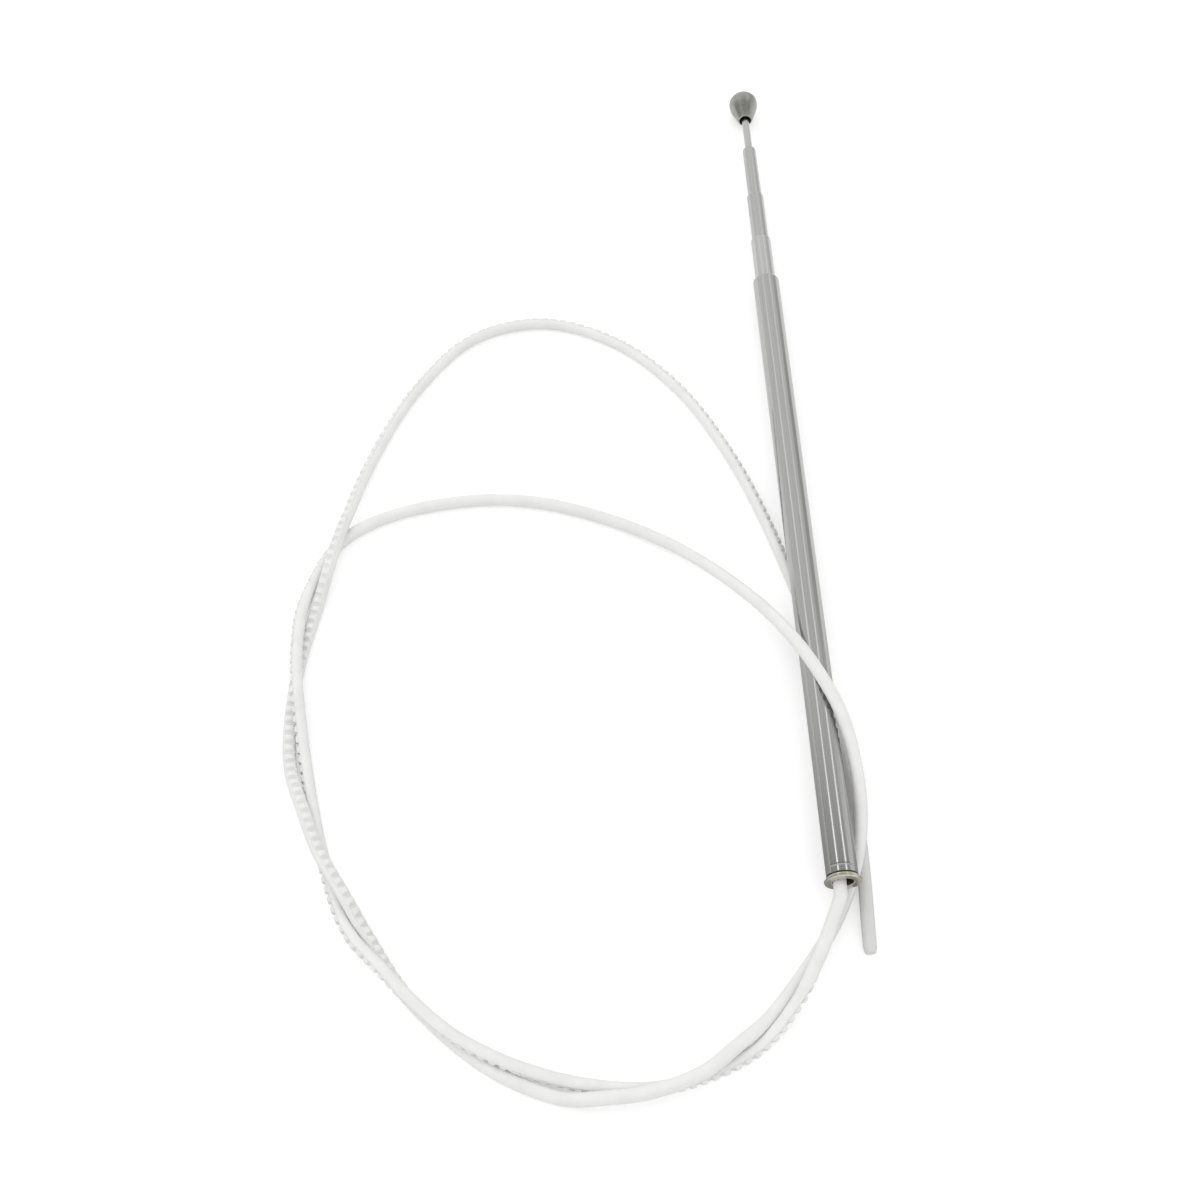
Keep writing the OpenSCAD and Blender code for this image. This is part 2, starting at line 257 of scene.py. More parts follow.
def drawn_tube_outline(start, mouth, od, wall, lip_r, groove=()):
    """A tube whose mouth is rolled in to lip_r, with a broken edge and a groove near its foot."""
    roll = od / 2 - lip_r
    outline = [(od / 2 - BROKEN_EDGE, start), (od / 2, start + BROKEN_EDGE),
               (od / 2, start + 2 * BROKEN_EDGE)]
    outline += [(od / 2 - depth, s) for s, depth in groove]
    steps = 12
    outline += [(od / 2, start + (mouth - roll - start) * k / steps) for k in range(1, steps)]
    outline.append((od / 2, mouth - roll - 0.08))
    outline += arc(lip_r, mouth - roll, roll, 0, 90, 12)
    outline += arc(lip_r, mouth - roll, roll - wall, 90, 0, 8)
    outline.append((od / 2 - wall, start))
    return outline


# --------------------------------------------------------------------------- the cord's path

Station = namedtuple("Station", "centre heading facing toothed greyed")


def route_point(k):
    """A point of the route, which runs on straight past its ends."""
    n = len(CORD_ROUTE)
    if k < 0:
        return 2 * Vector(CORD_ROUTE[0]) - Vector(CORD_ROUTE[1])
    if k >= n:
        return 2 * Vector(CORD_ROUTE[n - 1]) - Vector(CORD_ROUTE[n - 2])
    return Vector(CORD_ROUTE[k])


def route_at(place, radius):
    """The smooth curve through the route's points; place counts the points and the way between them."""
    k = min(int(place), len(CORD_ROUTE) - 2)
    f = place - k
    p0, p1, p2, p3 = (route_point(k + j) for j in (-1, 0, 1, 2))
    t1 = math.sqrt((p1 - p0).length)
    t2 = t1 + math.sqrt((p2 - p1).length)
    t3 = t2 + math.sqrt((p3 - p2).length)
    t = t1 + (t2 - t1) * f
    a1 = p0 * ((t1 - t) / t1) + p1 * (t / t1)
    a2 = p1 * ((t2 - t) / (t2 - t1)) + p2 * ((t - t1) / (t2 - t1))
    a3 = p2 * ((t3 - t) / (t3 - t2)) + p3 * ((t - t2) / (t3 - t2))
    b1 = a1 * ((t2 - t) / t2) + a2 * (t / t2)
    b2 = a2 * ((t3 - t) / (t3 - t1)) + a3 * ((t - t1) / (t3 - t1))
    p = b1 * ((t2 - t) / (t2 - t1)) + b2 * ((t - t1) / (t2 - t1))
    p.z = max(p.z, radius)
    return p


def eased(table, place):
    """The table's value at a place, eased in and out between its rows."""
    for (k0, v0), (k1, v1) in zip(table, table[1:]):
        if place <= k1:
            f = (place - k0) / (k1 - k0)
            f = f * f * (3 - 2 * f)
            return v0 + (v1 - v0) * f
    return table[-1][1]


def cord_stations(step, radius):
    """Stations about a step apart along the cord, and the cord's length."""
    fine = []
    for k in range(len(CORD_ROUTE) - 1):
        n = max(4, int((route_point(k + 1) - route_point(k)).length / ROUTE_STEP))
        fine += [(k + j / n, route_at(k + j / n, radius)) for j in range(n)]
    last = len(CORD_ROUTE) - 1
    fine.append((last, route_at(last - 1e-9, radius)))
    # level out what the spline leaves uneven in height
    for _ in range(ROUTE_LEVELLINGS):
        pts = [p for _, p in fine]
        fine = [fine[0]] + [(fine[i][0], (pts[i - 1] + 2 * pts[i] + pts[i + 1]) / 4)
                            for i in range(1, len(fine) - 1)] + [fine[-1]]
    lengths = [0.0]
    for (_, a), (_, b) in zip(fine, fine[1:]):
        lengths.append(lengths[-1] + (b - a).length)
    count = int(round(lengths[-1] / step))
    even, j = [], 0
    for i in range(count + 1):
        want = lengths[-1] * i / count
        while j < len(lengths) - 2 and lengths[j + 1] < want:
            j += 1
        f = (want - lengths[j]) / (lengths[j + 1] - lengths[j])
        place = fine[j][0] + (fine[j + 1][0] - fine[j][0]) * f
        even.append((place, fine[j][1].lerp(fine[j + 1][1], f)))
    stations = []
    for i, (place, centre) in enumerate(even):
        heading = (even[min(i + 1, count)][1] - even[max(i - 1, 0)][1]).normalized()
        left = Vector((0, 0, 1)).cross(heading).normalized()
        up = heading.cross(left)
        turn = math.radians(eased(TOOTH_TURN, place))
        facing = left * math.cos(turn) + up * math.sin(turn)
        greyed = max(0.0, min(1.0, (place - GREYED_FROM) / GREYED_WITHIN))
        stations.append(Station(centre, heading, facing, TOOTHED_FROM <= place <= TOOTHED_TO, greyed))
    return stations, lengths[-1]


# --------------------------------------------------------------------------- materials

def new_material(name):
    mat = bpy.data.materials.new(name)
    mat.use_nodes = True
    return mat, mat.node_tree, mat.node_tree.nodes["Principled BSDF"]


def node(tree, kind, inputs=None, **settings):
    """A new node; an input is given as a socket to link or as a value to set."""
    made = tree.nodes.new(kind)
    for key, value in settings.items():
        setattr(made, key, value)
    for key, value in (inputs or {}).items():
        if isinstance(value, bpy.types.NodeSocket):
            tree.links.new(value, made.inputs[key])
        else:
            made.inputs[key].default_value = value
    return made


def ramp(tree, factor, stops):
    """A colour ramp through (place, colour) stops."""
    made = node(tree, "ShaderNodeValToRGB", {"Fac": factor})
    line = made.color_ramp
    while len(line.elements) < len(stops):
        line.elements.new(0.5)
    for element, (place, colour) in zip(line.elements, stops):
        element.position = place
        element.color = (*colour, 1)
    return made.outputs["Color"]


def grey_ramp(tree, factor, stops):
    return ramp(tree, factor, [(place, (v, v, v)) for place, v in stops])


def maths(tree, operation, a, b):
    return node(tree, "ShaderNodeMath", {0: a, 1: b}, operation=operation).outputs[0]


def mixed(tree, factor, a, b, blend="MIX"):
    """Colour a where the factor is 0 and colour b where it is 1."""
    made = node(tree, "ShaderNodeMix", {"Factor": factor, MIX_A: a, MIX_B: b},
                data_type="RGBA", blend_type=blend)
    return made.outputs[MIX_RESULT]


def mapped(tree, value, least, most, to_least=0.0, to_most=1.0):
    """The value, carried from one range to another and held within it."""
    made = node(tree, "ShaderNodeMapRange", {"Value": value, "From Min": least, "From Max": most,
                                             "To Min": to_least, "To Max": to_most})
    return made.outputs["Result"]


def tinted(colour, k):
    return tuple(min(1.0, c * k) for c in colour)


def mast_space(tree):
    """Object coordinates turned so that Y runs exactly along the mast."""
    where = node(tree, "ShaderNodeTexCoord")
    turned = node(tree, "ShaderNodeMapping", {"Vector": where.outputs["Object"], "Rotation": (TILT, 0, 0)})
    return turned.outputs["Vector"]


def stretched_noise(tree, vector, scale, detail, rough=0.55):
    placed = node(tree, "ShaderNodeMapping", {"Vector": vector, "Scale": scale})
    noise = node(tree, "ShaderNodeTexNoise", {"Vector": placed.outputs["Vector"], "Scale": 1.0,
                                              "Detail": detail, "Roughness": rough})
    return noise.outputs["Fac"]


def gloss_by(tree, shader, pattern, smoothest, roughest):
    """Roughness that follows a pattern."""
    gloss = mapped(tree, pattern, PATTERN_LOW, PATTERN_HIGH, smoothest, roughest)
    tree.links.new(gloss, shader.inputs["Roughness"])


def relief_by(tree, shader, pattern, strength, metres):
    """Fine relief that follows a pattern."""
    bump = node(tree, "ShaderNodeBump", {"Height": pattern, "Strength": strength, "Distance": metres})
    tree.links.new(bump.outputs["Normal"], shader.inputs["Normal"])


def metal_tone(tree, shader, patterns, colour, streak, reach):
    """Bare metal, lighter and darker by the share streak as the mean of two patterns wanders."""
    mean = maths(tree, "MULTIPLY", maths(tree, "ADD", *patterns), 0.5)
    tone = ramp(tree, mean, ((0.5 - reach, tinted(colour, 1 - streak)), (0.5, colour),
                             (0.5 + reach, tinted(colour, 1 + streak))))
    tree.links.new(tone, shader.inputs["Base Color"])
    shader.inputs["Metallic"].default_value = 1.0


def drawn_steel(name, colour, streak, rough):
    """Drawn stainless tube: fine lines along its length, in tone, gloss and height."""
    mat, tree, shader = new_material(name)
    along = mast_space(tree)
    broad = stretched_noise(tree, along, BROAD_LINES, detail=2.0)
    fine = stretched_noise(tree, along, FINE_LINES, detail=4.0, rough=0.65)
    metal_tone(tree, shader, (broad, fine), colour, streak, reach=0.2)
    gloss_by(tree, shader, fine, rough - 0.03, rough + 0.05)
    relief_by(tree, shader, fine, strength=0.04, metres=0.00002)
    return mat


def turned_metal(name, colour, streak, rough):
    """Plated metal with faint turning rings round the mast's axis and a little dulling."""
    mat, tree, shader = new_material(name)
    along = mast_space(tree)
    rings = stretched_noise(tree, along, TURNING_RINGS, detail=3.0)
    cloud = stretched_noise(tree, along, DULL_CLOUDS, detail=4.0)
    metal_tone(tree, shader, (rings, cloud), colour, streak, reach=0.18)
    gloss_by(tree, shader, cloud, rough - 0.04, rough + 0.08)
    relief_by(tree, shader, rings, strength=0.1, metres=0.00003)
    return mat


def moulded_nylon(name, colour, rough, depth, greyed=None):
    """Natural nylon: a little light passes through it, with faint clouding and a soft mould gloss.
    Where the mesh's attribute named greyed rises to 1, it is painted greyer, as painted shade."""
    mat, tree, shader = new_material(name)
    where = node(tree, "ShaderNodeTexCoord").outputs["Object"]
    cloud = stretched_noise(tree, where, NYLON_CLOUDS, detail=3.0)
    grain = stretched_noise(tree, where, NYLON_GRAIN, detail=3.0)
    tone = ramp(tree, cloud, ((PATTERN_LOW, tinted(colour, 0.96)), (PATTERN_HIGH, tinted(colour, 1.03))))
    if greyed:
        # painted shade: where the attribute rises, the colour is mixed to a greyer tone
        share = node(tree, "ShaderNodeAttribute", attribute_name=greyed).outputs["Fac"]
        tone = mixed(tree, share, tone, (*tinted(colour, GREYED_SHARE), 1))
    tree.links.new(tone, shader.inputs["Base Color"])
    gloss_by(tree, shader, grain, rough - 0.06, rough + 0.08)
    relief_by(tree, shader, grain, strength=0.06, metres=0.00005)
    shader.inputs["Subsurface Weight"].default_value = depth
    shader.inputs["Subsurface Radius"].default_value = (1.0, 1.0, 0.95)
    shader.inputs["Subsurface Scale"].default_value = 0.0008
    return mat


def dress_node(name, mat):
    """Gives a CAD node's own mesh a finish."""
    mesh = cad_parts[name].data
    mesh.materials.clear()
    mesh.materials.append(mat)


# --------------------------------------------------------------------------- settings

class MastSettings(bpy.types.PropertyGroup):
    """Diameters and finishes of the mast."""
    main_diameter: bpy.props.FloatProperty(
        name="Main tube", description="Outside diameter of the main tube",
        default=0.008, subtype="DISTANCE", unit="LENGTH")
    stage_3_diameter: bpy.props.FloatProperty(
        name="First sliding tube", description="Outside diameter of the first sliding tube",
        default=0.00615, subtype="DISTANCE", unit="LENGTH")
    stage_2_diameter: bpy.props.FloatProperty(
        name="Second sliding tube", description="Outside diameter of the second sliding tube",
        default=0.0052, subtype="DISTANCE", unit="LENGTH")
    stage_1_diameter: bpy.props.FloatProperty(
        name="Third sliding tube", description="Outside diameter of the third sliding tube",
        default=0.0043, subtype="DISTANCE", unit="LENGTH")
    rod_diameter: bpy.props.FloatProperty(
        name="Tip rod", description="Diameter of the tip rod",
        default=0.00235, subtype="DISTANCE", unit="LENGTH")
    steel: bpy.props.FloatVectorProperty(
        name="Steel", description="Colour of the drawn steel",
        default=(0.42, 0.42, 0.415), size=3, subtype="COLOR")
    nickel: bpy.props.FloatVectorProperty(
        name="Foot plating", description="Colour of the foot's plating",
        default=(0.60, 0.585, 0.51), size=3, subtype="COLOR")
    knob: bpy.props.FloatVectorProperty(
        name="Knob plating", description="Colour of the knob's plating",
        default=(0.34, 0.34, 0.315), size=3, subtype="COLOR")


class CordSettings(bpy.types.PropertyGroup):
    """Sizes and finish of the toothed cord."""
    diameter: bpy.props.FloatProperty(
        name="Diameter", description="Cord over its teeth",
        default=0.0034, subtype="DISTANCE", unit="LENGTH")
    pitch: bpy.props.FloatProperty(
        name="Tooth pitch", description="Distance from tooth to tooth",
        default=0.0028, subtype="DISTANCE", unit="LENGTH")
    tooth_depth: bpy.props.FloatProperty(
        name="Tooth depth", description="Height of a tooth over the cord's flat",
        default=0.0008, subtype="DISTANCE", unit="LENGTH")
    nylon: bpy.props.FloatVectorProperty(
        name="Nylon", description="Colour of the cord",
        default=(0.84, 0.84, 0.83), size=3, subtype="COLOR")


class StudioSettings(bpy.types.PropertyGroup):
    """Camera and light of the studio."""
    lens: bpy.props.FloatProperty(
        name="Lens", description="Focal length on a frame 36 mm wide",
        default=48.0, subtype="DISTANCE_CAMERA")
    ambient: bpy.props.FloatProperty(
        name="Ambient", description="Strength of the light from all round", default=0.96)
    strip: bpy.props.FloatProperty(
        name="Strip lamps", description="Brightness of the narrow lamps in reflections", default=3.1)


# --------------------------------------------------------------------------- the studio's pieces

def add_camera(scene, lens):
    camera = bpy.data.cameras.new("camera")
    camera.lens = lens
    camera.sensor_width = 36
    camera.clip_start = 0.01
    holder = add_object("camera", camera)
    holder.location = Vector(CAMERA_PLACE) * MM
    holder.rotation_euler = [math.radians(turn) for turn in CAMERA_TURN]
    scene.camera = holder


def floor_finish():
    """White to the camera, and still takes the object's shadow. In reflections it is painted: it glows a
    little away from the foot, and its grey, painted darker below the foot as painted shade, changes along Y."""
    mat, tree, shader = new_material("studio floor")
    shader.inputs["Roughness"].default_value = 0.9
    shader.inputs["Specular IOR Level"].default_value = 0.1
    shader.inputs["Emission Color"].default_value = WHITE
    path = node(tree, "ShaderNodeLightPath").outputs
    where = node(tree, "ShaderNodeTexCoord").outputs["Object"]
    y = node(tree, "ShaderNodeSeparateXYZ", {"Vector": where}).outputs["Y"]
    # painted reflection: the floor as the metal sees it is painted darker at the mast's foot, standing in for
    # shade there
    in_metal = grey_ramp(tree, mapped(tree, y, *FLOOR_PAINTED_REFLECTION_Y), FLOOR_PAINTED_REFLECTION)
    paint = mixed(tree, path["Is Glossy Ray"], (FLOOR_GREY, FLOOR_GREY, FLOOR_GREY, 1), in_metal)
    tree.links.new(paint, shader.inputs["Base Color"])
    straight = maths(tree, "MAXIMUM", path["Is Camera Ray"], path["Is Transmission Ray"])
    # painted reflection: in reflections the floor glows, more so away from the foot
    painted_glow_in_reflection = maths(tree, "MULTIPLY", path["Is Glossy Ray"], mapped(tree, y, *FLOOR_PAINTED_GLOW_Y))
    glow = maths(tree, "MULTIPLY", maths(tree, "MAXIMUM", straight, painted_glow_in_reflection), FLOOR_GLOW)
    tree.links.new(glow, shader.inputs["Emission Strength"])
    return mat


def add_floor():
    mesh = bpy.data.meshes.new("floor")
    corners = ((-1, -1), (1, -1), (1, 1), (-1, 1))
    mesh.from_pydata([(x * FLOOR_HALF, y * FLOOR_HALF, FLOOR_Z) for x, y in corners], [], [(0, 1, 2, 3)])
    mesh.materials.append(floor_finish())
    add_object("floor", mesh)


def round_mast(stops):
    """Angles in degrees as places on a ramp that runs from -90 to 90."""
    return [((angle + 90) / 180, v) for angle, v in stops]


def add_world(scene, ambient, strip):
    """Even grey light on the object and white for the camera. Metal sees a studio that is darker on
    the camera's side, with two long narrow lamps overhead, a wall low on the right and a window."""
    world = bpy.data.worlds.new("studio")
    scene.world = world
    world.use_nodes = True
    tree = world.node_tree
    path = node(tree, "ShaderNodeLightPath").outputs
    way = node(tree, "ShaderNodeTexCoord").outputs["Generated"]
    way = node(tree, "ShaderNodeSeparateXYZ", {"Vector": way}).outputs
    angle = mapped(tree, maths(tree, "ARCTAN2", way["X"], way["Z"]), -math.pi / 2, math.pi / 2)

    in_metal = mixed(tree, grey_ramp(tree, angle, round_mast(WALL_ROUND)),
                     grey_ramp(tree, way["Y"], SKY), grey_ramp(tree, way["Y"], WALL))
    lamps = mixed(tree, 1.0, (strip, strip, strip, 1), grey_ramp(tree, way["Y"], LAMPS), "MULTIPLY")
    in_metal = mixed(tree, grey_ramp(tree, angle, round_mast(LAMPS_ROUND)), in_metal, lamps)
    window = grey_ramp(tree, mapped(tree, way["Y"], -1.0, 1.0), WINDOW)
    in_metal = mixed(tree, window, in_metal, WINDOW_LIGHT)

    light = mixed(tree, path["Is Glossy Ray"], (ambient, ambient, ambient, 1), in_metal)
    seen = mixed(tree, path["Is Camera Ray"], light, WHITE)
    back = tree.nodes["Background"]
    tree.links.new(seen, back.inputs["Color"])
    back.inputs["Strength"].default_value = 1.0


def add_soft_lamp():
    lamp = bpy.data.lights.new("soft_top", "AREA")
    lamp.shape = "RECTANGLE"
    lamp.size = lamp.size_y = SOFT_LAMP_SIZE
    lamp.energy = SOFT_LAMP_WATTS
    holder = add_object("soft_top", lamp)
    holder.location = SOFT_LAMP_PLACE
    holder.rotation_euler = (-holder.location).to_track_quat("-Z", "Y").to_euler()
    holder.visible_glossy = False


class AERIAL_OT_studio(bpy.types.Operator):
    """Camera at the photograph's angle, pale floor, even ambient light and one soft lamp"""
    bl_idname = "aerial.studio"
    bl_label = "Studio"

    def execute(self, context):
        scene, settings = context.scene, context.scene.studio_settings
        scene.view_settings.view_transform = "Standard"
        add_camera(scene, settings.lens)
        add_floor()
        add_world(scene, settings.ambient, settings.strip)
        add_soft_lamp()
        return {"FINISHED"}


# --------------------------------------------------------------------------- the cord

def rack_tooth_mesh(radius, depth, pitch):
    """One tooth of the rack, in metres: narrower and shorter towards its crown, within the cord's round."""
    verts, faces = [], []
    for height, share in TOOTH_LEVELS:
        h = radius - depth + height * depth
        wide = math.sqrt(max(radius * radius - h * h, 0.0)) * TOOTH_WITHIN_ROUND
        long = pitch * share / 2
        verts += [(-long, -wide, h), (long, -wide, h), (long, wide, h), (-long, wide, h)]
    for i in range(len(TOOTH_LEVELS) - 1):
        for k in range(4):
            n = (k + 1) % 4
            faces.append((i * 4 + k, i * 4 + n, i * 4 + 4 + n, i * 4 + 4 + k))
    top = (len(TOOTH_LEVELS) - 1) * 4
    faces += [(top, top + 1, top + 2, top + 3), (3, 2, 1, 0)]
    mesh = bpy.data.meshes.new("rack_tooth")
    mesh.from_pydata(verts, [], faces)
    smooth(mesh, 30)
    return mesh


def tooth_line_tree(mat):
    """Repeats a tooth along a path, each turned by the path's facing, and joins them to the cord."""
    group = bpy.data.node_groups.new("teeth along cord", "GeometryNodeTree")
    face = group.interface
    face.new_socket("Geometry", in_out="INPUT", socket_type="NodeSocketGeometry")
    face.new_socket("Path", in_out="INPUT", socket_type="NodeSocketObject")
    face.new_socket("Tooth", in_out="INPUT", socket_type="NodeSocketObject")
    face.new_socket("Pitch", in_out="INPUT", socket_type="NodeSocketFloat")
    face.new_socket("Geometry", in_out="OUTPUT", socket_type="NodeSocketGeometry")
    start = group.nodes.new("NodeGroupInput")
    end = group.nodes.new("NodeGroupOutput")

    path = node(group, "GeometryNodeObjectInfo", {"Object": start.outputs["Path"]})
    line = node(group, "GeometryNodeMeshToCurve", {"Mesh": path.outputs["Geometry"]})
    even = node(group, "GeometryNodeResampleCurve", {"Curve": line.outputs["Curve"],
                                                     "Length": start.outputs["Pitch"]}, mode="LENGTH")
    # a tooth stands on the way that the cord faces, with its length along the cord
    facing = node(group, "GeometryNodeInputNamedAttribute", {"Name": "facing"}, data_type="FLOAT_VECTOR")
    heading = node(group, "GeometryNodeInputTangent")
    turn = node(group, "FunctionNodeAxesToRotation", {"Primary Axis": facing.outputs["Attribute"],
                                                      "Secondary Axis": heading.outputs["Tangent"]},
                primary_axis="Z", secondary_axis="X")
    rows = node(group, "GeometryNodeStoreNamedAttribute", {"Geometry": even.outputs["Curve"], "Name": "turn",
                                                           "Value": turn.outputs["Rotation"]},
                data_type="QUATERNION", domain="POINT")
    spots = node(group, "GeometryNodeCurveToPoints", {"Curve": rows.outputs["Geometry"]}, mode="EVALUATED")

    toothed = node(group, "GeometryNodeInputNamedAttribute", {"Name": "toothed"}, data_type="FLOAT")
    picked = node(group, "FunctionNodeCompare", {0: toothed.outputs["Attribute"], 1: 0.5},
                  data_type="FLOAT", operation="GREATER_THAN")
    tooth = node(group, "GeometryNodeObjectInfo", {"Object": start.outputs["Tooth"], "As Instance": True})
    turned = node(group, "GeometryNodeInputNamedAttribute", {"Name": "turn"}, data_type="QUATERNION")
    placed = node(group, "GeometryNodeInstanceOnPoints", {"Points": spots.outputs["Points"],
                                                          "Selection": picked.outputs["Result"],
                                                          "Instance": tooth.outputs["Geometry"],
                                                          "Rotation": turned.outputs["Attribute"]})
    real = node(group, "GeometryNodeRealizeInstances", {"Geometry": placed.outputs["Instances"]})
    joined = node(group, "GeometryNodeJoinGeometry")
    group.links.new(real.outputs["Geometry"], joined.inputs["Geometry"])
    group.links.new(start.outputs["Geometry"], joined.inputs["Geometry"])
    dressed = node(group, "GeometryNodeSetMaterial", {"Geometry": joined.outputs["Geometry"],
                                                      "Material": mat})
    group.links.new(dressed.outputs["Geometry"], end.inputs["Geometry"])
    return group


def make_plain(obj, name):
    """Applies the object's modifiers and drops the attributes that only they need."""
    depsgraph = bpy.context.evaluated_depsgraph_get()
    mesh = bpy.data.meshes.new_from_object(obj.evaluated_get(depsgraph))
    mesh.name = name
    obj.modifiers.clear()
    obj.data = mesh
    for attribute in [a for a in mesh.attributes if a.name in ("facing", "toothed", "turn")]:
        mesh.attributes.remove(attribute)


def cord_body_mesh(stations, radius, depth):
    """The cord without its teeth: round, with a flat where they stand and both ends rounded over."""
    verts, faces = [], []
    last = len(stations) - 1
    for i, station in enumerate(stations):
        side = station.heading.cross(station.facing).normalized()
        across = side.cross(station.heading).normalized()
        shrink = CORD_END_SHRINK if i in (0, last) else 1.0
        flat = radius - depth if station.toothed else radius
        for k in range(CORD_SIDES):
            a = 2 * math.pi * (k + 0.5) / CORD_SIDES
            h, w = min(radius * math.cos(a), flat), radius * math.sin(a)
            verts.append((station.centre + across * h * shrink + side * w * shrink) * MM)
    for i in range(last):
        near, far = i * CORD_SIDES, (i + 1) * CORD_SIDES
        for k in range(CORD_SIDES):
            n = (k + 1) % CORD_SIDES
            faces.append((near + k, near + n, far + n, far + k))
    tip = len(verts)
    verts.append((stations[0].centre - stations[0].heading * CORD_END_DOME) * MM)
    verts.append((stations[last].centre + stations[last].heading * CORD_END_DOME) * MM)
    for k in range(CORD_SIDES):
        n = (k + 1) % CORD_SIDES
        faces.append((tip, n, k))
        faces.append((tip + 1, last * CORD_SIDES + k, last * CORD_SIDES + n))
    mesh = bpy.data.meshes.new("drive_cord_toothed")
    mesh.from_pydata(verts, [], faces)
    # painted shade: the cord's plain tail is painted greyer, standing in for the shade it lies in by the mast
    greyed = [station.greyed for station in stations for _ in range(CORD_SIDES)] + [0.0, 1.0]
    mesh.attributes.new("tail_painted_shade", "FLOAT", "POINT").data.foreach_set("value", greyed)
    smooth(mesh, 40)
    return mesh


def cord_line_mesh(stations):
    """The cord's centre line, with which way the teeth face and where they stand."""
    mesh = bpy.data.meshes.new("cord_line")
    mesh.from_pydata([station.centre * MM for station in stations],
                     [(i, i + 1) for i in range(len(stations) - 1)], [])
    facing = [part for station in stations for part in station.facing]
    toothed = [float(station.toothed) for station in stations]
    mesh.attributes.new("facing", "FLOAT_VECTOR", "POINT").data.foreach_set("vector", facing)
    mesh.attributes.new("toothed", "FLOAT", "POINT").data.foreach_set("value", toothed)
    return mesh


class AERIAL_OT_cord(bpy.types.Operator):
    """Toothed nylon drive cord along its loose double loop, from the foot's bore to its free end"""
    bl_idname = "aerial.cord"
    bl_label = "Drive cord"

    def execute(self, context):
        settings = context.scene.cord_settings
        radius, depth = settings.diameter / 2 / MM, settings.tooth_depth / MM
        stations, length = cord_stations(settings.pitch / MM / 2, radius)
        cord = add_object("drive_cord_toothed", cord_body_mesh(stations, radius, depth))
        line = add_object("cord_line", cord_line_mesh(stations))
        tooth = add_object("rack_tooth", rack_tooth_mesh(settings.diameter / 2, settings.tooth_depth,
                                                         settings.pitch))

        nylon = moulded_nylon("white cord nylon", settings.nylon, rough=0.36, depth=0.12, greyed="tail_painted_shade")
        group = tooth_line_tree(nylon)
        teeth = cord.modifiers.new("teeth", "NODES")
        teeth.node_group = group
        sockets = {s.name: s.identifier for s in group.interface.items_tree if s.in_out == "INPUT"}
        teeth[sockets["Path"]] = line
        teeth[sockets["Tooth"]] = tooth
        teeth[sockets["Pitch"]] = settings.pitch
        context.view_layer.update()
        make_plain(cord, "drive_cord_toothed")
        for helper in (line, tooth):
            bpy.data.objects.remove(helper)

        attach(cord, "mast_base")
        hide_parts("drive_cord")
        return {"FINISHED"}


# --------------------------------------------------------------------------- the mast's pieces

class AERIAL_OT_main_tube(bpy.types.Operator):
    """Main tube with its rolled-in mouth and the crimped ring near its foot"""
    bl_idname = "aerial.main_tube"
    bl_label = "Main tube"

    def execute(self, context):
        settings = context.scene.mast_settings
        lip_r = settings.stage_3_diameter / MM / 2 + SLIDING_PLAY
        outline = drawn_tube_outline(MAIN_START, MAIN_MOUTH, settings.main_diameter / MM, MAIN_WALL,
                                     lip_r, CRIMP)
        tube = turned_piece("main_tube", outline, around=128)
        steel = drawn_steel("drawn steel, main tube", settings.steel, streak=0.10, rough=0.13)
        tube.data.materials.append(steel)
        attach(tube, "mast_base")
        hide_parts("base_tube")
        return {"FINISHED"}


class AERIAL_OT_sliding_tubes(bpy.types.Operator):
    """The three sliding tubes, each rolled in round the next"""
    bl_idname = "aerial.sliding_tubes"
    bl_label = "Sliding tubes"

    def execute(self, context):
        settings = context.scene.mast_settings
        diameters = [d / MM for d in (settings.stage_3_diameter, settings.stage_2_diameter,
                                      settings.stage_1_diameter, settings.rod_diameter)]
        for (name, start, mouth, lighter), od, inner in zip(SLIDING_TUBES, diameters, diameters[1:]):
            outline = drawn_tube_outline(start, mouth, od, SLIDING_WALL, inner / 2 + SLIDING_PLAY)
            tube = turned_piece(name + "_drawn", outline)
            steel = drawn_steel("drawn steel, " + name.replace("_", " "), tinted(settings.steel, lighter),
                                streak=0.10, rough=0.2)
            tube.data.materials.append(steel)
            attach(tube, name)
            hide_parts(name + "_tube")
        return {"FINISHED"}


class AERIAL_OT_rod(bpy.types.Operator):
    """Thin tip rod that carries the knob"""
    bl_idname = "aerial.rod"
    bl_label = "Tip rod"

    def execute(self, context):
        settings = context.scene.mast_settings
        r = settings.rod_diameter / MM / 2
        low, high, steps = ROD_START + ROD_EDGE, ROD_END - ROD_EDGE, 16
        outline = [(0, ROD_START), (r - ROD_EDGE, ROD_START)]
        outline += [(r, low + (high - low) * k / steps) for k in range(steps + 1)]
        outline += [(r - ROD_EDGE, ROD_END), (0, ROD_END)]
        rod = turned_piece("tip_rod_steel", outline, around=64)
        steel = drawn_steel("drawn steel, rod", tinted(settings.steel, ROD_LIGHTER), streak=0.08, rough=0.26)
        rod.data.materials.append(steel)
        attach(rod, "tip")
        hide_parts("tip_rod")
        return {"FINISHED"}


